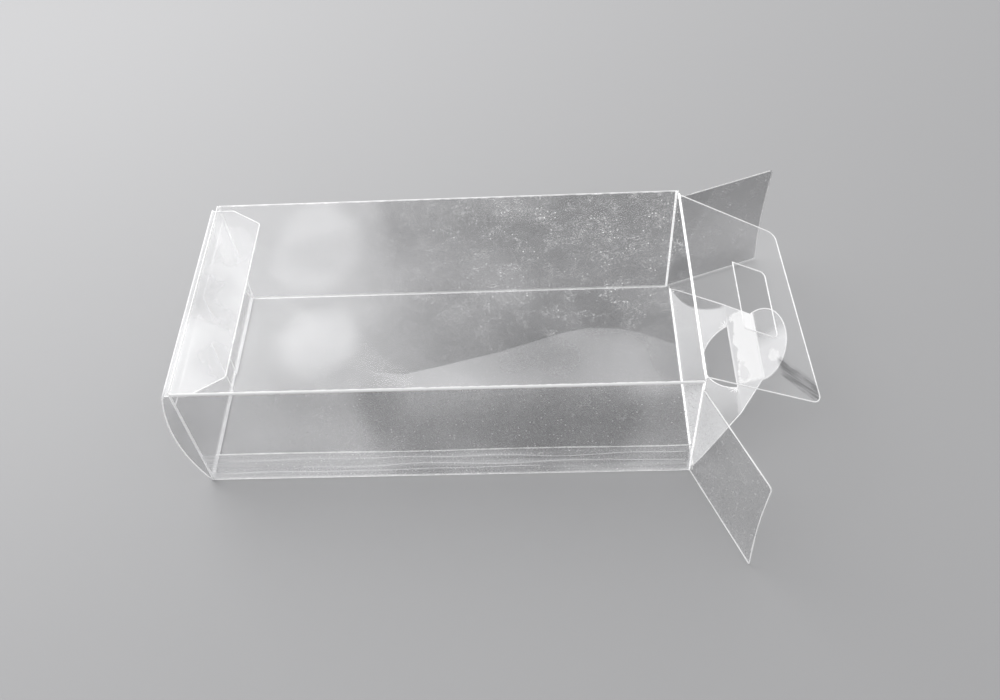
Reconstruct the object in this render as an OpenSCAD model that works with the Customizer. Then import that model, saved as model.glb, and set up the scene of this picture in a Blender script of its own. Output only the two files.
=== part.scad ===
// Clear film folding box, lying on a broad side: a folded sleeve, closed at one end
// by a bowed tuck lid and open at the other, where a slot flap, a handle flap with a
// locking lobe and two dust flaps stand spread. Millimetres, X along the length
// towards the open end, Z up, origin at the middle of the base panel's underside.

/* [Box] */
// Length of the sleeve, from the closed end to the handle flap's fold
box_l = 200; // [150:5:260]
// Width of the two broad panels
box_w = 102; // [90:2:130]
// Height of the two narrow panels
box_h = 61; // [58:1:80]
// Thickness of the clear film
film_t = 0.4; // [0.3:0.05:0.6]
// Outside radius of the four long folds
fold_r = 0.9; // [0.7:0.1:1.5]

/* [Creases] */
// Radius of the rolled bead that each hinged fold turns about
bead_r = 0.45; // [0.4:0.05:0.6]
// Gap between a bead and the flap that turns about it
crease_gap = 0.05; // [0.04:0.01:0.1]
// Step between the folds of two flaps that lie on each other when shut
layer_step = 0.8; // [0.7:0.1:1.2]

/* [Glue seam] */
// Width of the glued strip inside the near panel
glue_w = 19; // [12:1:25]
// Distance of the strip's end from the panel's end
glue_inset = 1; // [0.5:0.5:5]
// How far the strip narrows towards its free edge at the closed end
glue_taper = 5; // [2:1:8]

/* [Slot flap] */
// Length of the slot flap from its fold, along its middle
slot_flap_l = 50.5; // [45:0.5:52]
// How much longer the slot flap's near side is than its far side
slot_flap_askew = 4.8; // [0:0.2:6]
// How much narrower than the box the slot flap is at its fold
slot_flap_clear = 5; // [4:0.5:8]
// How much each side of the slot flap runs in towards its end
slot_flap_taper = 3.6; // [0:0.2:6]
// Radius of the slot flap's two outer corners
slot_flap_corner_r = 4.5; // [2:0.5:8]
// Distance of the slot from the slot flap's fold
slot_from = 22.2; // [15:0.2:24]
// Width of the slot, across the flap's length
slot_w = 15.2; // [12:0.2:18]
// How much shorter the slot is than the lobe that it holds
slot_grip = 2; // [1:0.5:4]
// Radius of the slot's two outer corners
slot_corner_r = 2.2; // [0.5:0.1:4]
// How far the slot flap hangs below level
slot_flap_droop = 27; // [22:1:30]

/* [Handle flap] */
// How much narrower than the box the handle flap is at its fold
handle_clear = 5; // [4:0.5:8]
// Distance from the fold at which the handle flap starts to narrow
handle_shoulder = 4.2; // [2:0.2:8]
// Width of the handle flap at its shoulders
handle_shoulder_w = 92; // [70:1:94]
// Width of the handle flap at the finger hole's straight side
handle_strap_w = 59.6; // [50:0.2:64]
// Width of the neck between the strap and the lobe
neck_w = 36; // [30:0.5:36]
// Distance of the finger hole's straight side from the fold
hole_far = 23.4; // [20:0.2:26]
// Depth of the finger hole, from its straight side to the middle of its bow
hole_depth = 12.9; // [9:0.1:15]
// Length of the finger hole's straight side
hole_w = 33.2; // [30:0.2:40]
// Width of the strap between the finger hole and the neck
strap_w = 11.5; // [9:0.5:14]
// Length of the locking lobe beyond the neck
lobe_l = 15.3; // [10:0.1:16]
// Full width of the locking lobe
lobe_w = 36.6; // [36:0.2:42]
// Distance of the lobe's widest line from the neck
lobe_ear = 2; // [1:0.5:4]
// Rise of the handle flap's base above level
handle_rise = 24.5; // [20:0.5:26]
// Extra rise of the strap above the base
strap_bend = 10.5; // [0:0.5:12]
// Extra rise of the lobe above the strap
lobe_bend = 11; // [0:1:14]

/* [Dust flaps] */
// Length of a dust flap from its fold
dust_l = 46.5; // [36:0.5:48]
// Height left free above an open dust flap
dust_top_clear = 4.5; // [3:0.5:8]
// Height left free above a folded-in dust flap, for the tuck tab to pass
inner_top_clear = 7.5; // [7.5:0.5:10]
// Depth of the shallow bow in a dust flap's outer edge
dust_bow = 1.1; // [0.5:0.1:2]
// Radius of a dust flap's upper outer corner
dust_corner_r = 1.8; // [1:0.1:4]
// Swing of the near dust flap away from straight out
near_swing = 67; // [0:1:90]
// Swing of the far dust flap away from straight out
far_swing = 20; // [0:1:90]

/* [Tuck lid] */
// How much narrower than the box the lid is
lid_clear = 1.4; // [1:0.2:4]
// Height left free above the lid's upper crease
lid_top_clear = 2.6; // [2:0.1:4]
// How far the lid's upper crease stands out past the sleeve
lid_out = 2.5; // [1.5:0.1:4]
// Depth of the lid's outward bow
lid_bow = 4.8; // [3:0.1:6]
// Length of the tuck tab
tab_l = 22.5; // [15:0.5:24]
// How much narrower than the box the tuck tab is
tab_clear = 2.4; // [2.2:0.2:6]
// Length of the tuck tab's straight sides
tab_side = 9.5; // [4:0.5:12]
// How much each side of the tuck tab runs in to its free edge
tab_taper = 8.5; // [4:0.5:12]
// Radius of the tuck tab's two free corners
tab_corner_r = 2; // [1:0.5:4]

/* [Hidden] */
$fn = 96;
film = [0.86, 0.9, 0.93, 0.45];
edge_film = [0.78, 0.84, 0.88, 0.6];
// A cut reaches this far past the film, and fused plates share this much
cut_over = 5;
fuse = 0.1;
flap_start = bead_r + crease_gap;
half_l = box_l / 2;
half_w = box_w / 2;
// The folds of the open end, from the outermost flap inwards
handle_x = half_l;
slot_x = half_l - layer_step;
dust_x = half_l - 2 * layer_step;
inner_x = -half_l + layer_step;
top_z = box_h - bead_r;
side_y = half_w - bead_r;
dust_low = film_t + crease_gap;
dust_high = box_h - dust_top_clear;
inner_high = box_h - inner_top_clear;
// The slot is as long as the lobe is wide, less its grip
slot_l = lobe_w - slot_grip;
slot_half = (box_w - slot_flap_clear) / 2;
handle_half = (box_w - handle_clear) / 2;
neck_s = hole_far + strap_w;
hole_r = (pow(hole_w / 2, 2) + pow(hole_depth, 2)) / (2 * hole_depth);
// The lid is an arc through its fold and its upper crease
lid_low = [-half_l, bead_r];
lid_high = [-half_l - lid_out, box_h - lid_top_clear];
lid_chord = norm(lid_high - lid_low);
lid_r = (pow(lid_chord / 2, 2) + pow(lid_bow, 2)) / (2 * lid_bow);
lid_lean = atan2(lid_out, lid_high.y - lid_low.y);
lid_centre = (lid_low + lid_high) / 2 + (lid_r - lid_bow) * [cos(lid_lean), sin(lid_lean)];
lid_half_angle = asin(lid_chord / 2 / lid_r);
lid_skip = 2 * asin(flap_start / 2 / lid_r);

function unit(v) = v / norm(v);
function turn_from(a, b) = (b - a + 540) % 360 - 180;

// Points of one corner of an outline, rounded to radius r
function corner(before, at, after, r, steps = 8) =
    r == 0 ? [at] :
    let (
        u = unit(before - at),
        v = unit(after - at),
        half = acos(u * v) / 2,
        centre = at + unit(u + v) * r / sin(half),
        p = at + u * r / tan(half) - centre,
        q = at + v * r / tan(half) - centre,
        from = atan2(p.y, p.x),
        sweep = turn_from(from, atan2(q.y, q.x))
    )
    [for (i = [0:steps]) centre + r * [cos(from + sweep * i / steps), sin(from + sweep * i / steps)]];

function rounded(points, radii) =
    let (n = len(points))
    [for (i = [0:n - 1]) each corner(points[(i + n - 1) % n], points[i], points[(i + 1) % n], radii[i])];

// A film plate of the given outline, in a flap's own frame: X away from the fold,
// Y along it, with the fold's axis in the middle of the film
module film_plate() {
    translate([0, 0, -film_t / 2]) linear_extrude(film_t) union() children();
}

// A bead along Y, centred on its axis
module crease_bead(length, r = bead_r) {
    rotate([90, 0, 0]) cylinder(h = length, r = r, center = true);
}

// Round bead along Z at one upright fold
module upright_bead(x, y, low, high) {
    translate([x, y, low]) cylinder(h = high - low, r = bead_r);
}

// A round-cornered rectangle, as the section of the sleeve
module round_rect(w, h, r) {
    square([w - 2 * r, h], center = true);
    square([w, h - 2 * r], center = true);
    for (i = [-1, 1], j = [-1, 1])
        translate([i * (w / 2 - r), j * (h / 2 - r)]) circle(r);
}

// Four panels in one fold, before the ends are trimmed
module sleeve_tube() {
    translate([-half_l, 0, box_h / 2])
        rotate([90, 0, 90])
            linear_extrude(box_l)
                difference() {
                    round_rect(box_w, box_h, fold_r);
                    round_rect(box_w - 2 * film_t, box_h - 2 * film_t, fold_r - film_t);
                }
}

// The narrow panels stop short of the broad ones at both ends, and the top panel
// stops short of the base, so that the shut flaps lie one on the other
module end_trims() {
    for (side = [-1, 1]) {
        translate([dust_x, side * half_w - fold_r, -cut_over])
            cube([cut_over, 2 * fold_r, box_h + 2 * cut_over]);
        translate([inner_x - cut_over, side * half_w - fold_r, -cut_over])
            cube([cut_over, 2 * fold_r, box_h + 2 * cut_over]);
    }
    translate([slot_x, -half_w, box_h / 2]) cube([cut_over, box_w, box_h]);
}

// Outline of a dust flap: X away from the fold, Y up the box
module dust_outline(high) {
    bow_h = high - dust_low;
    bow_r = (pow(bow_h / 2, 2) + pow(dust_bow, 2)) / (2 * dust_bow);
    difference() {
        polygon(rounded(
            [[flap_start, dust_low], [dust_l, dust_low], [dust_l, high], [flap_start, high]],
            [0, dust_corner_r / 2, dust_corner_r, 0]));
        translate([dust_l + bow_r - dust_bow, (dust_low + high) / 2]) circle(bow_r, $fn = 180);
    }
}

// A dust flap of the closed end, folded in square behind the lid and part of the sleeve
module inner_dust_flap(side) {
    translate([inner_x, side * side_y, 0])
        rotate([90, 0, -90 * side])
            film_plate() {
                dust_outline(inner_high);
                translate([0, dust_low]) square([flap_start + fuse, inner_high - dust_low]);
            }
    upright_bead(inner_x, side * side_y, dust_low, inner_high);
}

// The glued strip, which folds up from the base inside the near panel
module glue_strip() {
    left = inner_x + glue_inset;
    right = dust_x - glue_inset;
    low = film_t - fuse;
    translate([0, -half_w + 2 * film_t - fuse, 0])
        rotate([90, 0, 0])
            linear_extrude(film_t)
                polygon([[left, low], [right, low], [right, glue_w], [left + glue_taper, glue_w]]);
}

module sleeve() {
    color(film) {
        difference() {
            sleeve_tube();
            end_trims();
        }
        glue_strip();
        for (side = [-1, 1]) inner_dust_flap(side);
    }
    color(edge_film) {
        translate([slot_x, 0, top_z]) crease_bead(2 * slot_half);
        translate([handle_x, 0, bead_r]) crease_bead(2 * handle_half);
        translate([lid_low.x, 0, lid_low.y]) crease_bead(box_w - lid_clear);
        for (side = [-1, 1]) upright_bead(dust_x, side * side_y, dust_low, dust_high);
    }
}

// The slot: its two inner corners are sharp and its two outer ones are round
module slot_outline() {
    polygon(rounded(
        [[slot_from, -slot_l / 2], [slot_from + slot_w, -slot_l / 2],
         [slot_from + slot_w, slot_l / 2], [slot_from, slot_l / 2]],
        [0, slot_corner_r, slot_corner_r, 0]));
}

module slot_flap() {
    end_half = slot_half - slot_flap_taper;
    near_l = slot_flap_l + slot_flap_askew / 2;
    far_l = slot_flap_l - slot_flap_askew / 2;
    color(film)
        translate([slot_x, 0, top_z])
            rotate([0, slot_flap_droop, 0])
                film_plate()
                    difference() {
                        polygon(rounded(
                            [[flap_start, -slot_half], [near_l, -end_half],
                             [far_l, end_half], [flap_start, slot_half]],
                            [0, slot_flap_corner_r, slot_flap_corner_r, 0]));
                        slot_outline();
                    }
}

// The handle flap's base, with the finger hole cut into its far edge
module handle_base() {
    film_plate()
        difference() {
            polygon([
                [flap_start, -handle_half], [handle_shoulder, -handle_shoulder_w / 2],
                [hole_far, -handle_strap_w / 2], [hole_far, handle_strap_w / 2],
                [handle_shoulder, handle_shoulder_w / 2], [flap_start, handle_half]]);
            translate([hole_far - hole_depth + hole_r, 0]) circle(hole_r, $fn = 180);
        }
}

module handle_strap() {
    film_plate()
        polygon([[0, -handle_strap_w / 2], [strap_w, -neck_w / 2], [strap_w, neck_w / 2], [0, handle_strap_w / 2]]);
    crease_bead(handle_strap_w, film_t / 2);
}

// The lobe is an ellipse whose widest line lies just past the neck
module handle_lobe() {
    reach = lobe_l - lobe_ear;
    from = -asin(lobe_ear / reach);
    steps = 40;
    film_plate()
        polygon([for (i = [0:steps])
            let (a = from + (180 - 2 * from) * i / steps)
            [lobe_ear + reach * sin(a), lobe_w / 2 * cos(a)]]);
    crease_bead(neck_w, film_t / 2);
}

module handle_flap() {
    color(film)
        translate([handle_x, 0, bead_r])
            rotate([0, -handle_rise, 0]) {
                handle_base();
                translate([hole_far, 0, 0])
                    rotate([0, -strap_bend, 0]) {
                        handle_strap();
                        translate([strap_w, 0, 0]) rotate([0, -lobe_bend, 0]) handle_lobe();
                    }
            }
}

// A dust flap of the open end, swung out from straight by the given angle
module open_dust_flap(side, swing) {
    color(film)
        translate([dust_x, side * side_y, 0])
            rotate([90, 0, side * swing])
                film_plate() dust_outline(dust_high);
}

module near_dust_flap() {
    open_dust_flap(-1, near_swing);
}

module far_dust_flap() {
    open_dust_flap(1, far_swing);
}

// The lid is the stretch of a thin ring between its fold and its upper crease
module end_lid() {
    middle = 180 + lid_lean;
    low_angle = middle + lid_half_angle - lid_skip;
    high_angle = middle - lid_half_angle;
    reach = 2 * lid_r;
    color(film)
        rotate([90, 0, 0])
            linear_extrude(box_w - lid_clear, center = true)
                translate(lid_centre)
                    intersection() {
                        difference() {
                            circle(lid_r + film_t / 2, $fn = 360);
                            circle(lid_r - film_t / 2, $fn = 360);
                        }
                        polygon([
                            [0, 0],
                            reach * [cos(low_angle), sin(low_angle)],
                            reach * [cos(middle), sin(middle)],
                            reach * [cos(high_angle), sin(high_angle)]]);
                    }
    color(edge_film)
        translate([lid_high.x, 0, lid_high.y]) crease_bead(box_w - lid_clear);
}

module tuck_tab() {
    half = (box_w - tab_clear) / 2;
    color(film)
        translate([lid_high.x, 0, lid_high.y])
            film_plate()
                polygon(rounded(
                    [[flap_start, -half], [tab_side, -half], [tab_l, -half + tab_taper],
                     [tab_l, half - tab_taper], [tab_side, half], [flap_start, half]],
                    [0, tab_corner_r, tab_corner_r, tab_corner_r, tab_corner_r, 0]));
}

sleeve();
slot_flap();
handle_flap();
near_dust_flap();
far_dust_flap();
end_lid();
tuck_tab();
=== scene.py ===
import math

import bpy
from mathutils import Matrix, Vector, noise


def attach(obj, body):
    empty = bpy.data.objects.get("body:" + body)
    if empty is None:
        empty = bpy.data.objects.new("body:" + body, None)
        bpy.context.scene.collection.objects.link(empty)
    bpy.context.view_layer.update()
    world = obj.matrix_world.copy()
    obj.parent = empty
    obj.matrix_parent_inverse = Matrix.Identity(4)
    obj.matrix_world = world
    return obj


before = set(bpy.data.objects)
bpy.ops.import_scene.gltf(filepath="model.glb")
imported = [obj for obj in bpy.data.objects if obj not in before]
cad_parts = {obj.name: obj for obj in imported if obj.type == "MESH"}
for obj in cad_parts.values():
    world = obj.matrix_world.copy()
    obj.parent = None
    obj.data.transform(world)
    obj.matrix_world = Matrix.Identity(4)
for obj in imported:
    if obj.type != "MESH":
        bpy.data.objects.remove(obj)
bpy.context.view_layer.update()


# Table, lamps and camera: a plain pale table top under an even studio sky, with a large soft box above the
# closed end and one behind, so that the folds catch light. The camera stands where the photograph's stood.
MM = 0.001


def srgb(code):
    """A hex colour as linear red, green, blue and an alpha of 1."""
    parts = [int(code[i:i + 2], 16) / 255 for i in (1, 3, 5)]
    return [p / 12.92 if p <= 0.04045 else ((p + 0.055) / 1.055) ** 2.4 for p in parts] + [1.0]


def add(tree, kind, links=None, **settings):
    """Adds a node with its settings and its inputs, each a socket or a value, and returns its outputs."""
    made = tree.nodes.new("ShaderNode" + kind)
    for setting, value in settings.items():
        setattr(made, setting, value)
    for name, value in (links or {}).items():
        if isinstance(value, bpy.types.NodeSocket):
            tree.links.new(value, made.inputs[name])
        else:
            made.inputs[name].default_value = value
    return made.outputs


def empty_material(name):
    made = bpy.data.materials.new(name)
    made.use_nodes = True
    made.node_tree.nodes.clear()
    return made, made.node_tree


def mesh_piece(name, points, faces, material):
    """A smooth mesh from points in millimetres."""
    mesh = bpy.data.meshes.new(name)
    mesh.from_pydata([Vector(p) * MM for p in points], [], faces)
    mesh.validate()
    mesh.materials.append(material)
    for face in mesh.polygons:
        face.use_smooth = True
    piece = bpy.data.objects.new(name, mesh)
    bpy.context.scene.collection.objects.link(piece)
    return piece


# Painted board: matt, one even colour. Its top lies just under the film, so that the two don't flicker.
TABLE_HALF, TABLE_TOP = 2500, -0.25
table_paint, tree = empty_material("painted_board")
shader = add(tree, "BsdfPrincipled", {"Base Color": srgb("#ACACAD"), "Roughness": 0.8})
add(tree, "OutputMaterial", {"Surface": shader[0]})
corners = [(x * TABLE_HALF, y * TABLE_HALF, TABLE_TOP) for x, y in ((-1, -1), (1, -1), (1, 1), (-1, 1))]
table = mesh_piece("table", corners, [(0, 1, 2, 3)], table_paint)

sky = bpy.data.worlds.new("studio_sky")
sky.use_nodes = True
tree = sky.node_tree
tree.nodes.clear()
light_sky = add(tree, "Background", {"Color": srgb("#F7F7F8"), "Strength": 0.70})
seen_sky = add(tree, "Background", {"Color": srgb("#CDCDCE"), "Strength": 1.0})
ray = add(tree, "LightPath")
sky_mix = add(tree, "MixShader", {0: ray["Is Camera Ray"], 1: light_sky[0], 2: seen_sky[0]})
add(tree, "OutputWorld", {"Surface": sky_mix[0]})
bpy.context.scene.world = sky


def soft_box(name, place, aim, width, height, watts):
    """A rectangular lamp at a place in metres, turned to its aim."""
    lamp = bpy.data.lights.new(name, "AREA")
    lamp.shape = "RECTANGLE"
    lamp.size, lamp.size_y, lamp.energy = width, height, watts
    made = bpy.data.objects.new(name, lamp)
    made.location = place
    made.rotation_euler = (Vector(aim) - Vector(place)).to_track_quat("-Z", "Y").to_euler()
    bpy.context.scene.collection.objects.link(made)


soft_box("key_soft_box", (-0.42, 0.30, 0.55), (0, 0, 0), 0.5, 0.5, 3.4)
soft_box("back_soft_box", (0.15, 0.85, 0.55), (0, 0, 0.03), 1.0, 0.5, 2.6)

# The camera's place, right and forward, as fitted to the eight corners of the box in the photograph
CAMERA_AT = Vector((0.0423, -0.2679, 0.3558))
right = Vector((0.9985, 0.0095, -0.0546)).normalized()
forward = Vector((-0.0486, 0.6215, -0.7819)).normalized()
FOCAL_PX, PHOTO_PX, SENSOR = 1002, 1000, 36
camera_data = bpy.data.cameras.new("camera")
camera_data.sensor_width = SENSOR
camera_data.lens = SENSOR * FOCAL_PX / PHOTO_PX
camera = bpy.data.objects.new("camera", camera_data)
up = right.cross(forward).normalized()
right = forward.cross(up)
turn = Matrix((right, up, -forward)).transposed().to_4x4()
camera.matrix_world = Matrix.Translation(CAMERA_AT) @ turn
bpy.context.scene.collection.objects.link(camera)
bpy.context.scene.camera = camera
bpy.context.scene.view_settings.view_transform = "Standard"
# A ray can pass more than twenty faces of clear film
MOST_FACES = 64
bpy.context.scene.cycles.transparent_max_bounces = MOST_FACES


# Sleeve: four panels of clear PET film, 0.4 mm thick, heat-creased along four long folds and glued along a
# strip inside the near panel. The folds are stress-whitened, and the panels are hazed, dusty and finely
# scratched, more so towards the open end.
BOX_L, BOX_W, BOX_H, FILM = 200, 102, 61, 0.4
HALF_L, HALF_W = BOX_L / 2, BOX_W / 2
PET_IOR = 1.57
GREY_VEIL, PALE_VEIL, WHITE = "#525355", "#F6F6F7", "#FFFFFF"
# Sizes in millimetres of what is seen on the film: blotches of painted reflection, dust, specks, curled
# hairlines and the stretches of them that show, scratches' width, dusty patches, and the film's own low waves.
# Dust and scratches are drawn as coarse as they must be to show.
REFLECTION_BLOTCHES, DUST, SPECKS, CURLS, STRETCHES, SCRATCH_W, PATCHES, WAVES = 45, 0.8, 1.5, 6, 4.5, 0.32, 9, 30


def place_in_mm(tree):
    """Where the seen point is, from the frame's origin."""
    place = add(tree, "TexCoord")["Object"]
    return add(tree, "VectorMath", {0: place, "Scale": 1 / MM}, operation="SCALE")[0]


def clear_film(name, milky, hazed, veil=0.12, pale=0.0, worn=1.0):
    """Clear PET film, calendered, then handled: a faint veil that lets most light through, with white dust,
    short scratches and milky folds. Its tone is painted pale towards the closed end and grey towards the open
    one, for the light that falls off along the box. milky and hazed take the tree and the place in
    millimetres: milky gives 0 to 1, and hazed is above 0 where the film is milkier, from rubbing and from
    painted highlights and reflections, and below 0 where it is greyer, from scuffs and from painted shade.
    veil is how solid one face is, pale lifts its tone or lowers it, and worn is how dusty it is."""
    film, tree = empty_material(name)
    place = place_in_mm(tree)
    white, haze = milky(tree, place), hazed(tree, place)
    along, across, height = add(tree, "SeparateXYZ", {0: place})

    # Painted reflections: soft blotches that lift and lower the tone at random
    reflection_blotch = add(tree, "TexNoise", {"Vector": place, "Scale": 1 / REFLECTION_BLOTCHES, "Detail": 1.0})[0]
    reflection_blotch = add(tree, "MapRange", {0: reflection_blotch, 1: 0.35, 2: 0.65, 3: -0.16, 4: 0.16},
                 interpolation_type="SMOOTHSTEP")[0]
    # Painted light: the tone falls from pale at the closed end to grey at the open end, for the light that
    # falls off along the box
    tone = add(tree, "MapRange", {0: along, 1: -55, 2: 42, 3: 0.81 + pale, 4: 0.06 + pale})[0]
    # The narrow sides stand in their own shade, deepest under the upper folds and beyond a third of the way
    # from the closed end. It ends on a slant, before the near one's open end but beyond the far one's
    shade = add(tree, "Math", {0: across}, operation="ABSOLUTE")[0]
    shade = add(tree, "MapRange", {0: shade, 1: HALF_W - FILM, 2: HALF_W - 1, 3: -0.4, 4: 0})[0]
    slant = add(tree, "Math", {0: across, 1: -0.8, 2: along}, operation="MULTIPLY_ADD")[0]
    for way, first, last, low, high in (
            (height, 8, BOX_H, 0.6, 1.65), (along, -36, -24, 0.2, 1), (slant, 123, 105, -0.1, 1)):
        deeper = add(tree, "MapRange", {0: way, 1: first, 2: last, 3: low, 4: high},
                     interpolation_type="SMOOTHSTEP")[0]
        shade = add(tree, "Math", {0: shade, 1: deeper}, operation="MULTIPLY")[0]
    tone = add(tree, "Math", {0: tone, 1: shade}, operation="ADD")[0]
    tone = add(tree, "Math", {0: tone, 1: reflection_blotch}, operation="ADD")[0]
    tone = add(tree, "Math", {0: tone, 1: haze}, operation="ADD", use_clamp=True)[0]

    grain = add(tree, "TexNoise", {"Vector": place, "Scale": 1 / DUST, "Detail": 1.0})[0]
    grain = add(tree, "MapRange", {0: grain, 1: 0.64, 2: 0.74, 3: 0, 4: 0.25},
                interpolation_type="SMOOTHSTEP")[0]
    specks = add(tree, "TexVoronoi", {"Vector": place, "Scale": 1 / SPECKS})
    speck = add(tree, "MapRange", {0: specks["Distance"], 1: 0.27, 2: 0.15})[0]
    # Some specks are large, some can't be seen
    large = add(tree, "SeparateXYZ", {0: specks["Color"]})[0]
    large = add(tree, "MapRange", {0: large, 1: 0.5, 2: 1, 3: 0, 4: 0.7})[0]
    speck = add(tree, "Math", {0: speck, 1: large}, operation="MULTIPLY")[0]
    marks = add(tree, "Math", {0: grain, 1: speck}, operation="MAXIMUM")[0]
    # Curled hairlines run where a slow noise crosses its middle value, in short stretches
    curl = add(tree, "TexNoise", {"Vector": place, "Scale": 1 / CURLS, "Detail": 2.0})[0]
    curl = add(tree, "Math", {0: curl, 1: 0.5}, operation="SUBTRACT")[0]
    curl = add(tree, "Math", {0: curl}, operation="ABSOLUTE")[0]
    curl = add(tree, "MapRange", {0: curl, 1: 0.012, 2: 0.004, 3: 0, 4: 0.3})[0]
    stretch = add(tree, "TexNoise", {"Vector": place, "Scale": 1 / STRETCHES})[0]
    stretch = add(tree, "MapRange", {0: stretch, 1: 0.56, 2: 0.62})[0]
    curl = add(tree, "Math", {0: curl, 1: stretch}, operation="MULTIPLY")[0]
    marks = add(tree, "Math", {0: marks, 1: curl}, operation="MAXIMUM")[0]
    # Straight scratches, about this many millimetres long, in two directions
    for turn, length in (((0.3, 0.2, 0.5), 12), ((-0.4, 0.5, -0.9), 7)):
        shape = (length, SCRATCH_W, SCRATCH_W)
        lines = add(tree, "Mapping", {"Vector": place, "Rotation": turn, "Scale": shape},
                    vector_type="TEXTURE")[0]
        lines = add(tree, "TexNoise", {"Vector": lines, "Scale": 1.0, "Detail": 0.0})[0]
        lines = add(tree, "MapRange", {0: lines, 1: 0.69, 2: 0.78, 3: 0, 4: 0.35},
                    interpolation_type="SMOOTHSTEP")[0]
        marks = add(tree, "Math", {0: marks, 1: lines}, operation="MAXIMUM")[0]

    # Dust and scratches lie thicker towards the open end, in patches and thin on the near half. The near panel
    # is dusty all over, as if 45 mm nearer that end
    near_panel = add(tree, "MapRange", {0: across, 1: -HALF_W + 0.8, 2: -HALF_W + 0.5})[0]
    dusty = add(tree, "Math", {0: near_panel, 1: 45, 2: along}, operation="MULTIPLY_ADD")[0]
    dusty = add(tree, "MapRange", {0: dusty, 1: -70, 2: 50, 3: 0.15 * worn, 4: worn},
                interpolation_type="SMOOTHSTEP")[0]
    patchy = add(tree, "TexNoise", {"Vector": place, "Scale": 1 / PATCHES, "Detail": 3.0})[0]
    patchy = add(tree, "MapRange", {0: patchy, 1: 0.38, 2: 0.6, 3: 0.15, 4: 1})[0]
    thin = add(tree, "MapRange", {0: across, 1: -30, 2: -12, 3: 0.2, 4: 1})[0]
    wiped = add(tree, "MapRange", {0: haze, 1: 0, 2: 0.4, 3: 1, 4: 0.2})[0]
    for less in (patchy, thin, wiped):
        less = add(tree, "Math", {0: less, 1: near_panel}, operation="MAXIMUM")[0]
        dusty = add(tree, "Math", {0: dusty, 1: less}, operation="MULTIPLY")[0]
    marks = add(tree, "Math", {0: marks, 1: dusty}, operation="MULTIPLY")[0]
    marks = add(tree, "Math", {0: marks, 1: white}, operation="MAXIMUM", use_clamp=True)[0]

    colour = add(tree, "Mix", {0: tone, 6: srgb(GREY_VEIL), 7: srgb(PALE_VEIL)}, data_type="RGBA")[2]
    solid = add(tree, "Math", {0: haze}, operation="ABSOLUTE")[0]
    solid = add(tree, "Math", {0: solid, 1: 0.30, 2: veil}, operation="MULTIPLY_ADD")[0]
    solid = add(tree, "Math", {0: shade, 1: -0.25, 2: solid}, operation="MULTIPLY_ADD")[0]
    solid = add(tree, "Mix", {0: marks, 2: solid, 3: 1.0})[0]
    # Even thin dust stays white: it takes its share of what is solid
    share = add(tree, "Math", {0: marks, 1: solid}, operation="DIVIDE")[0]
    colour = add(tree, "Mix", {0: share, 6: colour, 7: srgb(WHITE)}, data_type="RGBA")[2]
    waves = add(tree, "TexNoise", {"Vector": place, "Scale": 1 / WAVES, "Detail": 1.0})[0]
    bump = add(tree, "Bump", {"Height": waves, "Strength": 0.5, "Distance": 0.002})[0]
    rough = add(tree, "MapRange", {0: marks, 3: 0.10, 4: 0.45})[0]
    rough = add(tree, "Math", {0: haze, 1: 0.4, 2: rough}, operation="MULTIPLY_ADD", use_clamp=True)[0]
    shader = add(tree, "BsdfPrincipled", {"Base Color": colour, "Roughness": rough, "IOR": PET_IOR,
                                          "Alpha": solid, "Normal": bump})
    # Lamps shine through clear film: each face keeps back a few hundredths of their light
    passed = add(tree, "BsdfTransparent", {"Color": srgb("#F7F7F7")})
    ray = add(tree, "LightPath")
    shown = add(tree, "MixShader", {0: ray["Is Shadow Ray"], 1: shader[0], 2: passed[0]})
    add(tree, "OutputMaterial", {"Surface": shown[0]})
    return film


def dress(node, film):
    """Gives a CAD node its material."""
    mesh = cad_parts[node].data
    mesh.materials.clear()
    mesh.materials.append(film)


GLUE_W, GLUE_TAPER, GLUE_INSET = 19, 5, 1


def sleeve_folds(tree, place):
    """White within a millimetre of the four long folds."""
    middle_off = add(tree, "VectorMath", {0: place, 1: (0, 0, BOX_H / 2)}, operation="SUBTRACT")[0]
    middle_off = add(tree, "VectorMath", {0: middle_off}, operation="ABSOLUTE")[0]
    gap = add(tree, "VectorMath", {0: (0, HALF_W, BOX_H / 2), 1: middle_off}, operation="SUBTRACT")[0]
    gap = add(tree, "SeparateXYZ", {0: gap})
    fold_off = add(tree, "Math", {0: gap["Y"], 1: gap["Z"]}, operation="MAXIMUM")[0]
    uneven = add(tree, "TexNoise", {"Vector": place, "Scale": 1 / 3, "Detail": 2.0})[0]
    fold_off = add(tree, "Math", {0: uneven, 1: 0.5, 2: fold_off}, operation="MULTIPLY_ADD")[0]
    return add(tree, "MapRange", {0: fold_off, 1: 1.2, 2: 0.95, 3: 0, 4: 1.0},
               interpolation_type="SMOOTHSTEP")[0]


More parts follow.
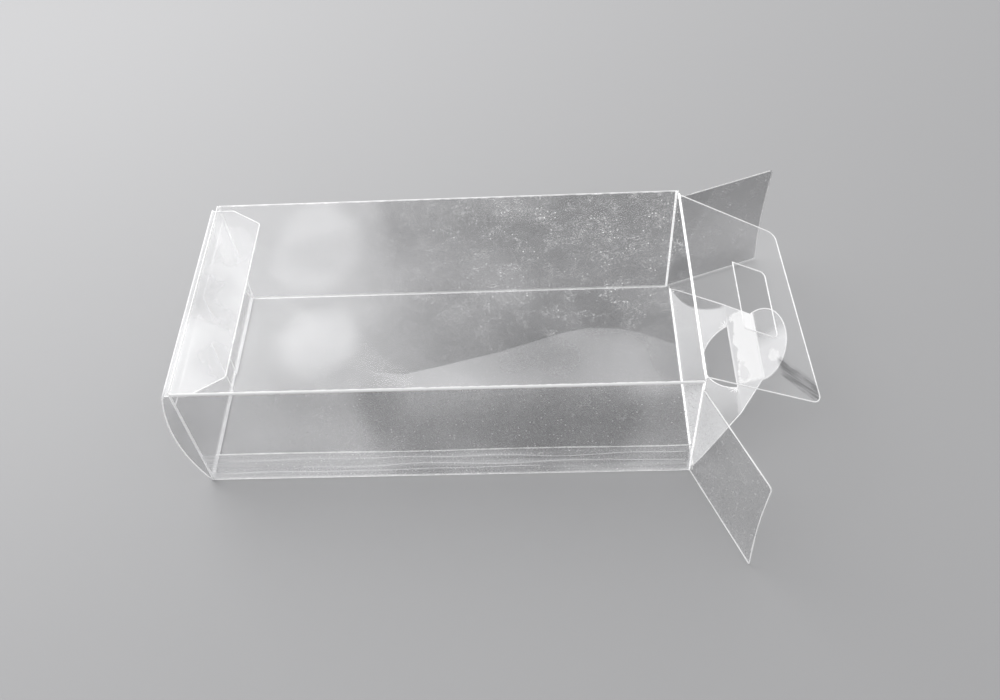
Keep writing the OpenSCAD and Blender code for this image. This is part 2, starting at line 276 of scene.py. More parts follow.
def sleeve_haze(tree, place):
    """A painted reflection with a wavy border on the base panel's near half, two pale painted reflections on
    the top panel near the closed end, a rubbed place at the base panel's open end, and the glued strip's glue."""
    x, y, z = add(tree, "SeparateXYZ", {0: place})
    on_base = add(tree, "MapRange", {0: z, 1: 2 * FILM, 2: 1.5 * FILM})[0]
    on_top = add(tree, "MapRange", {0: z, 1: BOX_H - 2 * FILM, 2: BOX_H - 1.5 * FILM})[0]
    # Painted reflection: the patch's border climbs towards the open end, dips at its foot and falls again at
    # the open end
    border = add(tree, "MapRange", {0: x, 1: -24, 2: 61, 3: 1.8, 4: 27})[0]
    dip = add(tree, "MapRange", {0: x, 1: -20, 2: -50, 3: 0, 4: 4}, interpolation_type="SMOOTHSTEP")[0]
    fall = add(tree, "MapRange", {0: x, 1: 70, 2: 112, 3: 0, 4: -13}, interpolation_type="SMOOTHSTEP")[0]
    sway = add(tree, "TexNoise", {"Vector": place, "Scale": 1 / 40, "Detail": 0.0})[0]
    sway = add(tree, "MapRange", {0: sway, 3: -3.5, 4: 3.5})[0]
    for change in (dip, fall, sway):
        border = add(tree, "Math", {0: border, 1: change}, operation="ADD")[0]
    patch = add(tree, "Math", {0: y, 1: border}, operation="SUBTRACT")[0]
    patch = add(tree, "MapRange", {0: patch, 1: 0.4, 2: -0.4, 3: 0, 4: 0.66})[0]
    closed_end = add(tree, "MapRange", {0: x, 1: -52, 2: -8}, interpolation_type="SMOOTHSTEP")[0]
    near_side = add(tree, "MapRange", {0: y, 1: -28, 2: -8})[0]
    for faded in (closed_end, near_side, on_base):
        patch = add(tree, "Math", {0: patch, 1: faded}, operation="MULTIPLY")[0]
    # Two blotches of painted reflection on the top panel near the closed end: their middles, reaches and
    # strengths
    for centre, reach, strength in (((-52, 24), (17, 30), 0.2), ((-46, -26), (15, 19), 0.34)):
        off = add(tree, "Mapping", {"Vector": place, "Location": (*centre, BOX_H), "Scale": (*reach, 1000)},
                  vector_type="TEXTURE")[0]
        off = add(tree, "VectorMath", {0: off}, operation="LENGTH")["Value"]
        wavy = add(tree, "TexNoise", {"Vector": place, "Scale": 1 / 26, "Detail": 0.0})[0]
        off = add(tree, "Math", {0: wavy, 1: 0.8, 2: off}, operation="MULTIPLY_ADD")[0]
        reflection_blotch = add(tree, "MapRange", {0: off, 1: 1.65, 2: 1.05, 3: 0, 4: strength},
                     interpolation_type="SMOOTHSTEP")[0]
        reflection_blotch = add(tree, "Math", {0: reflection_blotch, 1: on_top}, operation="MULTIPLY")[0]
        patch = add(tree, "Math", {0: patch, 1: reflection_blotch}, operation="MAXIMUM")[0]
    streak = add(tree, "Mapping", {"Vector": place, "Scale": (90, 9, 3.2)}, vector_type="TEXTURE")[0]
    streak = add(tree, "TexNoise", {"Vector": streak, "Scale": 1.0, "Detail": 2.0})[0]
    streak = add(tree, "MapRange", {0: streak, 1: 0.35, 2: 0.65, 3: 0.4, 4: 0.9})[0]
    strip = add(tree, "MapRange", {0: z, 1: GLUE_W + 0.1, 2: GLUE_W - 0.1})[0]
    near_panel = add(tree, "MapRange", {0: y, 1: -HALF_W + 2 * FILM, 2: -HALF_W + 0.7})[0]
    strip = add(tree, "Math", {0: strip, 1: near_panel}, operation="MULTIPLY")[0]
    strip = add(tree, "Math", {0: strip, 1: streak}, operation="MULTIPLY")[0]
    haze_shift = add(tree, "MapRange", {0: x, 1: 60, 2: 84, 3: 0, 4: 0.42}, interpolation_type="SMOOTHSTEP")[0]
    haze_shift = add(tree, "Math", {0: haze_shift, 1: on_base}, operation="MULTIPLY")[0]
    patch = add(tree, "Math", {0: patch, 1: haze_shift}, operation="MAXIMUM")[0]
    return add(tree, "Math", {0: patch, 1: strip}, operation="MAXIMUM")[0]


dress("sleeve", clear_film("pet_film_sleeve", sleeve_folds, sleeve_haze))

# Cut edges: every die-cut edge of the film lights up, because it pipes out the light that the film gathers,
# and this is painted as a faint glow. Each is a thin bright line that wraps the edge. The folds that flaps
# turn about are white rods, with a stronger painted glow.
EDGE_HALF_W, EDGE_HALF_H, EDGE_STEP = 0.27, 0.25, 5
# A crease's rod lies just over the bead of the solid, and just short of the flap, from the fold's middle
BEAD_R, CREASE_R, FLAP_START = 0.45, 0.48, 0.5


def cut_edge_finish(name, colour, solid, glow):
    """Die-cut PET edge: milky and slightly rough, near white, a little uneven along its length. It is painted
    with a faint glow, for the light that it pipes out, which the film's faces took in."""
    edge, tree = empty_material(name)
    uneven = add(tree, "TexNoise", {"Vector": place_in_mm(tree), "Scale": 1 / 5, "Detail": 2.0})[0]
    solid = add(tree, "MapRange", {0: uneven, 1: 0.3, 2: 0.6, 3: solid * 0.75, 4: solid})[0]
    shader = add(tree, "BsdfPrincipled", {"Base Color": srgb(colour), "Roughness": 0.35, "IOR": PET_IOR,
                                          "Alpha": solid, "Emission Color": srgb(WHITE),
                                          "Emission Strength": glow})
    add(tree, "OutputMaterial", {"Surface": shader[0]})
    return edge


cut_edge = cut_edge_finish("cut_pet_edge", WHITE, 0.9, 0.15)
dull_edge = cut_edge_finish("dull_cut_pet_edge", "#F8F8F9", 0.75, 0.15)
# Creases glow more: painted light that keeps the folds white where they face away from the lamps
glowing_crease_white = cut_edge_finish("stress_whitened_pet_painted_glow", WHITE, 1.0, 0.6)


def rounded(points, radii, steps=6):
    """A closed outline with its corners rounded, as part.scad draws it."""
    out = []
    for i, (at, r) in enumerate(zip(points, radii)):
        at = Vector(at)
        u = (Vector(points[i - 1]) - at).normalized()
        v = (Vector(points[(i + 1) % len(points)]) - at).normalized()
        if not r:
            out.append(at)
            continue
        half = u.angle(v) / 2
        centre = at + (u + v).normalized() * r / math.sin(half)
        start = at + u * r / math.tan(half) - centre
        end = at + v * r / math.tan(half) - centre
        sweep = start.angle_signed(end)
        for k in range(steps + 1):
            out.append(centre + Matrix.Rotation(-sweep * k / steps, 2) @ start)
    return out


def edge_line(name, body, path, ups, finish, closed=False, inset=EDGE_HALF_W - 0.02, half_w=EDGE_HALF_W,
              half_h=EDGE_HALF_H, seed=0.0, swell=0.3, sides=6):
    """A line along path, in millimetres, whose oval section has this many sides. ups are the film's normals
    there, and the line's middle lies inset to the left of the path as seen against them. It swells and
    shrinks by up to swell along its way."""
    fine, fine_up = [], []
    count = len(path)
    for i in range(count if closed else count - 1):
        a, b = Vector(path[i]), Vector(path[(i + 1) % count])
        parts = max(1, math.ceil((b - a).length / EDGE_STEP))
        for k in range(parts):
            fine.append(a.lerp(b, k / parts))
            fine_up.append(Vector(ups[i]).lerp(Vector(ups[(i + 1) % count]), k / parts).normalized())
    if not closed:
        fine.append(Vector(path[-1]))
        fine_up.append(Vector(ups[-1]).normalized())
    n = len(fine)
    points, faces = [], []
    ring = [(math.cos(2 * math.pi * k / sides), math.sin(2 * math.pi * k / sides)) for k in range(sides)]
    for i, (at, up) in enumerate(zip(fine, fine_up)):
        before = at - fine[i - 1] if closed or i else fine[1] - at
        after = fine[(i + 1) % n] - at if closed or i < n - 1 else at - fine[i - 1]
        side_a, side_b = (up.cross(d).normalized() for d in (before, after))
        side = (side_a + side_b).normalized()
        side = side / max(0.6, side.dot(side_a))
        size = 1 + swell * noise.noise(at * 0.21 + Vector((seed, 0, 0)))
        middle = at + side * inset
        points += [middle + side * half_w * size * s + up * half_h * size * t for s, t in ring]
    for i in range(n if closed else n - 1):
        j = (i + 1) % n
        faces += [(i * sides + k, i * sides + (k + 1) % sides, j * sides + (k + 1) % sides, j * sides + k)
                  for k in range(sides)]
    if not closed:
        faces += [tuple(reversed(range(sides))), tuple(range((n - 1) * sides, n * sides))]
    piece = mesh_piece(name, points, faces, finish)
    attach(piece, body)


def crease(name, body, start, end, up, seed, finish=glowing_crease_white):
    """A hinged fold, stress-whitened right through: a rod that covers the bead the flap turns about."""
    edge_line(name, body, [start, end], [up, up], finish, inset=0, half_w=CREASE_R, half_h=CREASE_R,
              seed=seed, swell=0.0, sides=16)


def laid(place, outline):
    """A flat outline laid into the box by its fold's matrix, and the film's normals there."""
    up = (place.to_3x3() @ Vector((0, 0, 1))).normalized()
    return [place @ Vector((p[0], p[1], 0)) for p in outline], [up] * len(outline)


def fold_place(x, y, z, turns):
    """Matrix of a flap's own frame: its fold's middle and its turns about X, Y and Z in degrees."""
    about = Matrix.Identity(4)
    for axis, angle in zip("XYZ", turns):
        about = Matrix.Rotation(math.radians(angle), 4, axis) @ about
    return Matrix.Translation((x, y, z)) @ about


# Ends of the sleeve and the glued strip: the strip folds up from the base panel inside the near one and is
# held by clear glue, whose runs show as wavy lines.
LAYER_STEP, STRIP_STEP = 0.8, 10
OUT_NEAR, UP = (0, -1, 0), (0, 0, 1)
THREAD = {"inset": 0, "half_w": 0.2, "half_h": 0.1}
strip_y = -HALF_W + 1.5 * FILM
strip_left, strip_right = -HALF_L + LAYER_STEP + GLUE_INSET, HALF_L - 2 * LAYER_STEP - GLUE_INSET

top_left = strip_left + GLUE_TAPER
strip_top = [(top_left + k * STRIP_STEP, strip_y, GLUE_W + 0.25 * math.sin(k * 0.6))
             for k in range(int((strip_right - top_left) / STRIP_STEP))]
strip_top.append((strip_right, strip_y, GLUE_W))
edge_line("glue_strip_edge", "sleeve", strip_top, [OUT_NEAR] * len(strip_top), cut_edge, inset=-0.2, seed=1)
for where, foot, top in (("closed", strip_left, top_left), ("open", strip_right, strip_right)):
    edge_line(f"glue_strip_{where}_end", "sleeve", [(foot, strip_y, 1.2), (top, strip_y, GLUE_W)],
              [OUT_NEAR] * 2, dull_edge, seed=4, **THREAD)

# Each run's height, how far it strays, and where it starts and ends
GLUE_RUNS = (14.2, 2.6, -88, 97), (9.0, 2.4, -60, 97), (5.0, 1.6, -94, 40)
for number, (height, stray, start, end) in enumerate(GLUE_RUNS):
    run = [(x, strip_y, height + stray * noise.noise(Vector((x * 0.035, height * 1.7, 4.2))))
           for x in range(start, end, 4)]
    edge_line(f"glue_run_{number}", "sleeve", run, [OUT_NEAR] * len(run), dull_edge, seed=number * 3,
              **THREAD)

END_EDGE = {"half_w": 0.25, "half_h": 0.21}
top_end = [(-HALF_L, y, BOX_H - FILM / 2) for y in (HALF_W - 0.6, -HALF_W + 0.6)]
edge_line("top_panel_end_edge", "sleeve", top_end, [UP] * 2, cut_edge, inset=0.24, seed=2, **END_EDGE)
FOLD_HALF = 48.5
FOLD_Y = HALF_W - BEAD_R
for side, name in ((-1, "near"), (1, "far")):
    for x, z, where in ((HALF_L - LAYER_STEP - FILM / 2, BOX_H - FILM / 2, "top"),
                        (HALF_L - FILM / 2, FILM / 2, "base")):
        corner = [(x, side * FOLD_HALF, z), (x, side * (HALF_W - 0.5), z)]
        edge_line(f"{name}_{where}_corner_edge", "sleeve", corner, [UP] * 2, cut_edge, inset=0, seed=6,
                  **END_EDGE)
    for x, where, finish in ((-HALF_L + LAYER_STEP, "closed", dull_edge),
                             (HALF_L - 2 * LAYER_STEP, "open", glowing_crease_white)):
        y = side * FOLD_Y
        crease(f"{name}_{where}_end_crease", "sleeve", (x, y, 0.5), (x, y, BOX_H - 0.7), (1, 0, 0), 3, finish)

# Inner dust flaps: the two flaps of the closed end, folded in square behind the lid. Their cut edges show as
# thin lines through the lid and the panels.
DUST_LOW, DUST_L, DUST_BOW, DUST_R, INNER_CLEAR = FILM + 0.05, 46.5, 1.1, 1.8, 7.5


def dust_outline(high):
    """A dust flap's cut edge from the foot of its fold round to the top. Its outer end is slightly hollow."""
    corners = [(FLAP_START, DUST_LOW), (DUST_L, DUST_LOW), (DUST_L, high), (FLAP_START, high)]
    out = rounded(corners, [0, DUST_R / 2, DUST_R, 0])
    middle = (DUST_LOW + high) / 2
    last_low = max(i for i, p in enumerate(out) if p.y < middle)
    low, top = out[last_low], out[last_low + 1]
    hollow = [low.lerp(top, k / 8) - Vector((DUST_BOW * math.sin(math.pi * k / 8), 0)) for k in range(1, 8)]
    return out[:last_low + 1] + hollow + out[last_low + 1:]


for side, name in ((-1, "near"), (1, "far")):
    inner_place = fold_place(-HALF_L + LAYER_STEP, side * FOLD_Y, 0, (90, 0, -90 * side))
    points, ups = laid(inner_place, dust_outline(BOX_H - INNER_CLEAR))
    edge_line(f"inner_dust_edge_{name}", "sleeve", points, ups, dull_edge, half_w=0.24, inset=0.22,
              seed=5 + side)

# Slot flap: die-cut from the top panel's end, tapered, with a slot that takes the lobe of the handle flap. It
# droops from its crease, and the film at its near outer corner is scuffed in streaks and painted grey, as
# shade where it reflects less.
SLOT_X, TOP_Z, DROOP = HALF_L - LAYER_STEP, BOX_H - BEAD_R, 27
NEAR_L, FAR_L, SLOT_END_HALF, SLOT_CORNER = 52.9, 48.1, 44.9, 4.5
SLOT_FROM, SLOT_W, SLOT_REACH, SLOT_R = 22.2, 15.2, 17.3, 2.2
slot_place = fold_place(SLOT_X, 0, TOP_Z, (0, DROOP, 0))


def flap_coordinates(tree, place, origin, turns):
    """How far a place is from a flap's fold, and how far along the fold."""
    turns = [math.radians(t) for t in turns]
    own = add(tree, "Mapping", {"Vector": place, "Location": origin, "Rotation": turns},
              vector_type="TEXTURE")[0]
    own = add(tree, "SeparateXYZ", {0: own})
    return own["X"], own["Y"]


def slot_flap_folds(tree, place):
    """Slightly white within a millimetre of the fold."""
    u = flap_coordinates(tree, place, (SLOT_X, 0, TOP_Z), (0, DROOP, 0))[0]
    return add(tree, "MapRange", {0: u, 1: 1.3, 2: 0.7, 3: 0, 4: 0.1})[0]


def slot_flap_haze(tree, place):
    """Slightly milky towards its end, and grey and streaky in a band that runs to the near outer corner: scuff
    streaks, with painted shade where the film reflects less.
    """
    u, v = flap_coordinates(tree, place, (SLOT_X, 0, TOP_Z), (0, DROOP, 0))
    milk = add(tree, "MapRange", {0: u, 1: 5, 2: 45, 3: 0.0, 4: 0.2})[0]
    # How far a place is off the band's middle line, which goes 0.45 mm nearer for each mm away from the fold
    off = add(tree, "Math", {0: u, 1: 0.45, 2: v}, operation="MULTIPLY_ADD")[0]
    off = add(tree, "Math", {0: off, 1: 16.5}, operation="ADD")[0]
    ragged = add(tree, "TexNoise", {"Vector": place, "Scale": 1 / 6, "Detail": 2.0})[0]
    ragged = add(tree, "MapRange", {0: ragged, 3: -3, 4: 3})[0]
    band = add(tree, "Math", {0: off, 1: ragged}, operation="ADD")[0]
    band = add(tree, "Math", {0: band}, operation="ABSOLUTE")[0]
    band = add(tree, "MapRange", {0: band, 1: 6, 2: 3.5})[0]
    # It starts about 35 mm from the fold
    start = add(tree, "MapRange", {0: u, 1: 34, 2: 37})[0]
    band = add(tree, "Math", {0: band, 1: start}, operation="MULTIPLY")[0]
    # Streaks are twelve times as long as wide
    streak = add(tree, "Math", {0: u, 1: 1 / 12}, operation="MULTIPLY")[0]
    streak = add(tree, "CombineXYZ", {0: streak, 1: off})[0]
    streak = add(tree, "TexNoise", {"Vector": streak, "Scale": 0.9, "Detail": 2.0})[0]
    streak = add(tree, "MapRange", {0: streak, 1: 0.42, 2: 0.58, 3: -1.2, 4: -0.6})[0]
    # The band's grey is painted shade as well as scuffing
    band = add(tree, "Math", {0: band, 1: streak}, operation="MULTIPLY")[0]
    return add(tree, "Math", {0: milk, 1: band}, operation="ADD")[0]


dress("slot_flap", clear_film("pet_film_slot_flap", slot_flap_folds, slot_flap_haze, 0.06, 0.68, 0.25))
crease("slot_flap_crease", "sleeve", (SLOT_X, -FOLD_HALF, TOP_Z), (SLOT_X, FOLD_HALF, TOP_Z), UP, 12)
outline = rounded([(FLAP_START, -FOLD_HALF), (NEAR_L, -SLOT_END_HALF), (FAR_L, SLOT_END_HALF),
                   (FLAP_START, FOLD_HALF)], [0, SLOT_CORNER, SLOT_CORNER, 0])
edge_line("slot_flap_edge", "slot_flap", *laid(slot_place, outline), cut_edge, seed=11)
slot_to = SLOT_FROM + SLOT_W
outline = rounded([(SLOT_FROM, SLOT_REACH), (slot_to, SLOT_REACH), (slot_to, -SLOT_REACH),
                   (SLOT_FROM, -SLOT_REACH)], [0, SLOT_R, SLOT_R, 0])
edge_line("slot_edge", "slot_flap", *laid(slot_place, outline), cut_edge, closed=True, seed=13)

# Handle flap: die-cut from the base panel's end. Beyond a D-shaped finger hole is the carrying strap, and the
# lobe on its end locks through the slot. The strap has turned white where it was bent, and the film at the
# hole's corners is stressed.
RISE, STRAP_BEND, LOBE_BEND = 24.5, 10.5, 11
SHOULDER, SHOULDER_HALF = 4.2, 46
HOLE_FAR, STRAP_HALF, STRAP_W, NECK_HALF = 23.4, 29.8, 11.5, 18
HOLE_R, HOLE_DEPTH, HOLE_HALF = 17.13, 12.9, 16.6
LOBE_L, LOBE_HALF, LOBE_EAR = 15.3, 18.3, 2
base_place = fold_place(HALF_L, 0, BEAD_R, (0, -RISE, 0))
strap_place = base_place @ fold_place(HOLE_FAR, 0, 0, (0, -STRAP_BEND, 0))
lobe_place = strap_place @ fold_place(STRAP_W, 0, 0, (0, -LOBE_BEND, 0))


def handle_folds(tree, place):
    """The strap's white patch with its torn border and clear notch, the white fold, and the lobe's spot."""
    u, v = flap_coordinates(tree, place, (HALF_L, 0, BEAD_R), (0, -RISE, 0))
    torn = add(tree, "TexNoise", {"Vector": place, "Scale": 1 / 5, "Detail": 3.0})[0]
    torn = add(tree, "MapRange", {0: torn, 3: -3, 4: 3})[0]
    inner = add(tree, "Math", {0: u, 1: torn}, operation="ADD")[0]
    strap = add(tree, "MapRange", {0: inner, 1: HOLE_FAR + 2.0, 2: HOLE_FAR + 2.7})[0]
    outer = add(tree, "MapRange", {0: u, 1: HOLE_FAR + STRAP_W + 1.2, 2: HOLE_FAR + STRAP_W + 0.6})[0]
    strap = add(tree, "Math", {0: strap, 1: outer}, operation="MULTIPLY")[0]
    # The patch is 38 mm wide, and its middle is 3 mm to the far side
    across = add(tree, "Math", {0: v, 1: 3}, operation="SUBTRACT")[0]
    across = add(tree, "Math", {0: across}, operation="ABSOLUTE")[0]
    across = add(tree, "Math", {0: across, 1: torn}, operation="ADD")[0]
    across = add(tree, "MapRange", {0: across, 1: 19.5, 2: 18.5})[0]
    strap = add(tree, "Math", {0: strap, 1: across}, operation="MULTIPLY")[0]
    # Their middles from the fold and along it, and how far they reach
    notch, spot = ((27.3, -10.5), (2.2, 5), False), ((41.4, -9.2), (1.9, 3), True)
    for centre, reach, is_spot in (notch, spot):
        off = add(tree, "CombineXYZ", {0: u, 1: v})[0]
        off = add(tree, "Mapping", {"Vector": off, "Location": (*centre, 0), "Scale": (*reach, 1)},
                  vector_type="TEXTURE")[0]
        off = add(tree, "VectorMath", {0: off}, operation="LENGTH")["Value"]
        off = add(tree, "Math", {0: torn, 1: 0.35, 2: off}, operation="MULTIPLY_ADD")[0]
        if is_spot:
            off = add(tree, "MapRange", {0: off, 1: 1.2, 2: 0.8})[0]
            strap = add(tree, "Math", {0: strap, 1: off}, operation="MAXIMUM")[0]
        else:
            off = add(tree, "MapRange", {0: off, 1: 0.8, 2: 1.1, 3: 0.3, 4: 1})[0]
            strap = add(tree, "Math", {0: strap, 1: off}, operation="MULTIPLY")[0]
    fold = add(tree, "MapRange", {0: u, 1: 1.3, 2: 0.7, 3: 0, 4: 0.15})[0]
    return add(tree, "Math", {0: strap, 1: fold}, operation="MAXIMUM")[0]


def handle_haze(tree, place):
    """Milky up to the hole, most at the far side as far as a curved border, and a painted highlight in a wedge
    at the near side. Milky on the strap and, with a painted highlight, on the lobe's near half, while the
    lobe's far half is scarcely so."""
    u, v = flap_coordinates(tree, place, (HALF_L, 0, BEAD_R), (0, -RISE, 0))
    # The border is 50 mm out at the fold and draws in towards 27 mm
    border = add(tree, "Math", {0: u, 1: -1 / 7.5}, operation="MULTIPLY")[0]
    border = add(tree, "Math", {0: border}, operation="EXPONENT")[0]
    border = add(tree, "Math", {0: border, 1: 22.7, 2: 27}, operation="MULTIPLY_ADD")[0]
    inside = add(tree, "Math", {0: border, 1: v}, operation="SUBTRACT")[0]
    inside = add(tree, "MapRange", {0: inside, 1: -0.5, 2: 1.0})[0]
    far = add(tree, "MapRange", {0: v, 1: -30, 2: 22, 3: 0.1, 4: 1.5})[0]
    # A painted highlight: the wedge reaches 0.372 mm further from the fold for each mm that it is further out
    wedge = add(tree, "Math", {0: v, 1: 0.372, 2: u}, operation="MULTIPLY_ADD")[0]
    wedge = add(tree, "MapRange", {0: wedge, 1: 4.2, 2: 3.4, 3: 0, 4: 1.9})[0]
    near = add(tree, "MapRange", {0: v, 1: -7, 2: -15})[0]
    wedge = add(tree, "Math", {0: wedge, 1: near}, operation="MULTIPLY")[0]
    far = add(tree, "Math", {0: far, 1: wedge}, operation="MAXIMUM")[0]
    hole_side = add(tree, "MapRange", {0: u, 1: HOLE_FAR + 1, 2: HOLE_FAR - 2, 3: 0.0, 4: 1.0})[0]
    milk = add(tree, "Math", {0: inside, 1: far}, operation="MULTIPLY")[0]
    milk = add(tree, "Math", {0: milk, 1: hole_side}, operation="MULTIPLY")[0]
    strap = add(tree, "MapRange", {0: u, 1: 21.5, 2: 24, 3: 0, 4: 1.0})[0]
    lobe = add(tree, "MapRange", {0: u, 1: 35, 2: 36.5})[0]
    # A painted highlight on the lobe's near half; its far half is made scarcely milky
    haze_shift = add(tree, "MapRange", {0: v, 1: 5, 2: -3, 3: -0.75, 4: 0.7})[0]
    strap = add(tree, "Math", {0: lobe, 1: haze_shift, 2: strap}, operation="MULTIPLY_ADD")[0]
    return add(tree, "Math", {0: milk, 1: strap}, operation="ADD")[0]


dress("handle_flap", clear_film("pet_film_handle_flap", handle_folds, handle_haze, 0.10, 0.5, 0.5))

crease("handle_flap_crease", "sleeve", (HALF_L, -FOLD_HALF, BEAD_R), (HALF_L, FOLD_HALF, BEAD_R), UP, 16)

# The lobe's edge is part of an ellipse, which starts a little below its widest place
LOBE_STEPS = 40
reach = LOBE_L - LOBE_EAR
start = -math.asin(LOBE_EAR / reach)
lobe_turns = [start + (math.pi - 2 * start) * k / LOBE_STEPS for k in range(1, LOBE_STEPS)]
lobe = [(LOBE_EAR + reach * math.sin(a), -LOBE_HALF * math.cos(a)) for a in lobe_turns]
near_side = [(FLAP_START, -FOLD_HALF), (SHOULDER, -SHOULDER_HALF), (HOLE_FAR, -STRAP_HALF)]
far_side = [(x, -y) for x, y in reversed(near_side)]
points, ups = [], []
for place, run in ((base_place, near_side), (strap_place, [(STRAP_W, -NECK_HALF)]), (lobe_place, lobe),
                   (strap_place, [(STRAP_W, NECK_HALF)]), (base_place, far_side)):
    more, more_ups = laid(place, run)
    points, ups = points + more, ups + more_ups
edge_line("handle_flap_edge", "handle_flap", points, ups, cut_edge, seed=17)

HOLE_STEPS = 24
hole_middle = HOLE_FAR - HOLE_DEPTH + HOLE_R
half_turn = math.asin(HOLE_HALF / HOLE_R)
hole_turns = [half_turn * (2 * k / HOLE_STEPS - 1) for k in range(HOLE_STEPS + 1)]
bow = [(hole_middle - HOLE_R * math.cos(a), HOLE_R * math.sin(a)) for a in hole_turns]
edge_line("finger_hole_edge", "handle_flap", *laid(base_place, bow), cut_edge, closed=True, seed=19)

# Nicks: short white stress marks that spread from the hole's two corners in these directions, in degrees
nicks = []
for side, spread in ((1, (100, 128, 150, 175, 200, 75)), (-1, (-100, -128, -160, 170, -70))):
    for k, angle in enumerate(spread):
        length = 3.2 + 1.8 * noise.noise(Vector((k * 1.7, side, 0.3)))
        a = math.radians(angle)
        root = Vector((HOLE_FAR - 0.3, side * (HOLE_HALF + 0.4)))
        nicks.append((root, root + Vector((math.cos(a), math.sin(a))) * length))
for k, (root, tip) in enumerate(nicks):
    points, ups = laid(base_place, [root, root.lerp(tip, 0.5), tip])
    edge_line(f"stress_nick_{k}", "handle_flap", points, ups, cut_edge, inset=0, half_w=0.22, seed=23 + k)

# Dust flaps of the open end: plain flaps of film on the narrow panels, standing spread, the near one swung
# well out and the far one almost straight.
DUST_X, DUST_CLEAR = HALF_L - 2 * LAYER_STEP, 4.5
for side, name, swing in ((-1, "near", 67), (1, "far", 20)):
    turns = (90, 0, side * swing)

    def dust_folds(tree, place):
        """Slightly white within a millimetre of the fold."""
        u = flap_coordinates(tree, place, (DUST_X, side * FOLD_Y, 0), turns)[0]
        return add(tree, "MapRange", {0: u, 1: 1.3, 2: 0.7, 3: 0, 4: 0.15})[0]

    def dust_haze(tree, place):
        """A faint painted highlight along the fold, in a wedge that widens upwards, and rubbed along the lower
        edge.
        """
        u, v = flap_coordinates(tree, place, (DUST_X, side * FOLD_Y, 0), turns)
        # Painted highlight: a faint wedge along the fold that widens upwards
        wedge = add(tree, "Math", {0: v, 1: 0.32}, operation="MULTIPLY")[0]
        wedge = add(tree, "Math", {0: wedge, 1: u}, operation="SUBTRACT")[0]
        wedge = add(tree, "MapRange", {0: wedge, 1: -1, 2: 1, 3: 0.03, 4: 0.15})[0]
        ragged = add(tree, "TexNoise", {"Vector": place, "Scale": 1 / 4, "Detail": 3.0})[0]
        foot = add(tree, "Math", {0: ragged, 1: -24, 2: v}, operation="MULTIPLY_ADD")[0]
        foot = add(tree, "MapRange", {0: foot, 1: 6, 2: -10, 3: 0, 4: 0.35})[0]
        return add(tree, "Math", {0: wedge, 1: foot}, operation="ADD")[0]

    dress(f"{name}_dust_flap", clear_film(f"pet_film_{name}_dust_flap", dust_folds, dust_haze, 0.14))
    points, ups = laid(fold_place(DUST_X, side * FOLD_Y, 0, turns), dust_outline(BOX_H - DUST_CLEAR))
    # The line parts where the upper edge starts
    upper = next(i for i, p in enumerate(points) if p.z > BOX_H - DUST_CLEAR - 0.1)
    edge_line(f"{name}_dust_end_edge", f"{name}_dust_flap", points[:upper + 1], ups[:upper + 1],
              cut_edge if side < 0 else dull_edge, seed=29 + side)
    edge_line(f"{name}_dust_upper_edge", f"{name}_dust_flap", points[upper:], ups[upper:], cut_edge,
              seed=31 + side)

# End lid: a broad flap of the base panel that closes the end and bows outwards, because it is a little longer
# than the box is high.
LID_OUT, LID_TOP, LID_BOW, LID_HALF = 2.5, BOX_H - 2.6, 4.8, 50.3
LID_STEPS, LID_START = 16, 0.02
lid_low, lid_high = Vector((-HALF_L, 0, BEAD_R)), Vector((-HALF_L - LID_OUT, 0, LID_TOP))
chord = lid_high - lid_low
lid_r = ((chord.length / 2) ** 2 + LID_BOW ** 2) / (2 * LID_BOW)
outward = Vector((-chord.z, 0, chord.x)).normalized()
lid_centre = (lid_low + lid_high) / 2 - outward * (lid_r - LID_BOW)
lid_half_turn = math.asin(chord.length / 2 / lid_r)


def lid_arc(y):
    """Points of the lid's bowed line, from just off its fold to its upper crease, and the film's normals."""
    points, ups = [], []
    for k in range(LID_STEPS + 1):
        a = lid_half_turn * (2 * (LID_START + (1 - LID_START) * k / LID_STEPS) - 1)
        out = outward * math.cos(a) + chord.normalized() * math.sin(a)
        points.append(lid_centre + out * lid_r + Vector((0, y, 0)))
        ups.append(out)
    return points, ups


def lid_folds(tree, place):
    """White along the lid's lower fold, and slightly white along its upper one."""
    z = add(tree, "SeparateXYZ", {0: place})["Z"]
    upper = add(tree, "MapRange", {0: z, 1: LID_TOP - 1.2, 2: LID_TOP - 0.6, 3: 0, 4: 0.25})[0]
    lower = add(tree, "MapRange", {0: z, 1: 1.8, 2: 1.2, 3: 0, 4: 0.7})[0]
    return add(tree, "Math", {0: upper, 1: lower}, operation="MAXIMUM")[0]


def lid_haze(tree, place):
    """Slightly milky towards the top."""
    z = add(tree, "SeparateXYZ", {0: place})["Z"]
    return add(tree, "MapRange", {0: z, 1: 10, 2: 55, 3: 0.02, 4: 0.15})[0]


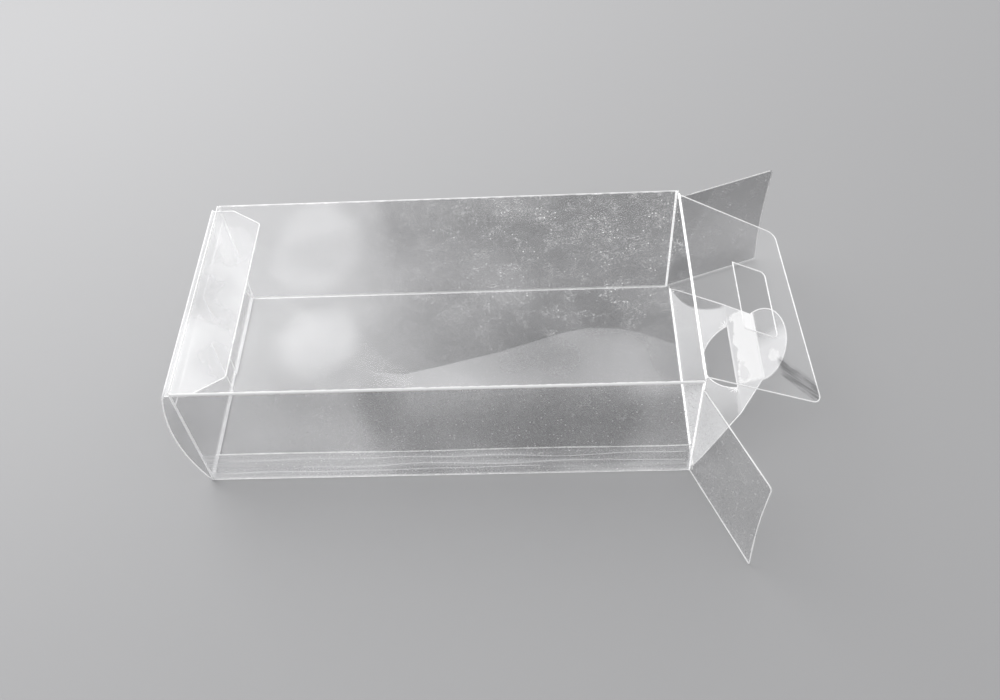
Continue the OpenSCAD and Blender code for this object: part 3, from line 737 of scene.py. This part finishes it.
dress("end_lid", clear_film("pet_film_end_lid", lid_folds, lid_haze, 0.16, -0.55, 4.0))
for name, body, at, seed in (("lid_fold_crease", "sleeve", lid_low, 33),
                             ("tuck_crease", "end_lid", lid_high, 35)):
    crease(name, body, (at.x, -LID_HALF, at.z), (at.x, LID_HALF, at.z), UP, seed, dull_edge)
edge_line("lid_edge_near", "end_lid", *lid_arc(-LID_HALF), cut_edge, inset=-(EDGE_HALF_W - 0.02), seed=31)
edge_line("lid_edge_far", "end_lid", *lid_arc(LID_HALF), cut_edge, seed=37)

# Tuck tab: the lid's last strip, creased and slid in under the top panel. It was rubbed at every closing, so
# it is the haziest part of the box.
TAB_L, TAB_HALF, TAB_SIDE, TAB_TAPER, TAB_R = 22.5, 49.8, 9.5, 8.5, 2


def tab_folds(tree, place):
    """Slightly white along the fold."""
    x = add(tree, "SeparateXYZ", {0: place})["X"]
    return add(tree, "MapRange", {0: x, 1: lid_high.x + 1.2, 2: lid_high.x + 0.6, 3: 0, 4: 0.25})[0]


def tab_haze(tree, place):
    """Cloudy all over, less so at the far side."""
    cloud = add(tree, "TexNoise", {"Vector": place, "Scale": 1 / 22, "Detail": 3.0})[0]
    cloud = add(tree, "MapRange", {0: cloud, 1: 0.3, 2: 0.7, 3: 0.55, 4: 0.8})[0]
    far = add(tree, "MapRange", {0: add(tree, "SeparateXYZ", {0: place})["Y"], 1: 5, 2: 40, 3: 1, 4: 0.6})[0]
    return add(tree, "Math", {0: cloud, 1: far}, operation="MULTIPLY")[0]


dress("tuck_tab", clear_film("pet_film_tuck_tab", tab_folds, tab_haze, 0.10, -0.65, 4.0))
outline = rounded([(FLAP_START, -TAB_HALF), (TAB_SIDE, -TAB_HALF), (TAB_L, -TAB_HALF + TAB_TAPER),
                   (TAB_L, TAB_HALF - TAB_TAPER), (TAB_SIDE, TAB_HALF), (FLAP_START, TAB_HALF)],
                  [0, TAB_R, TAB_R, TAB_R, TAB_R, 0])
tab_place = fold_place(lid_high.x, 0, lid_high.z, (0, 0, 0))
edge_line("tuck_tab_edge", "tuck_tab", *laid(tab_place, outline), cut_edge, seed=41)
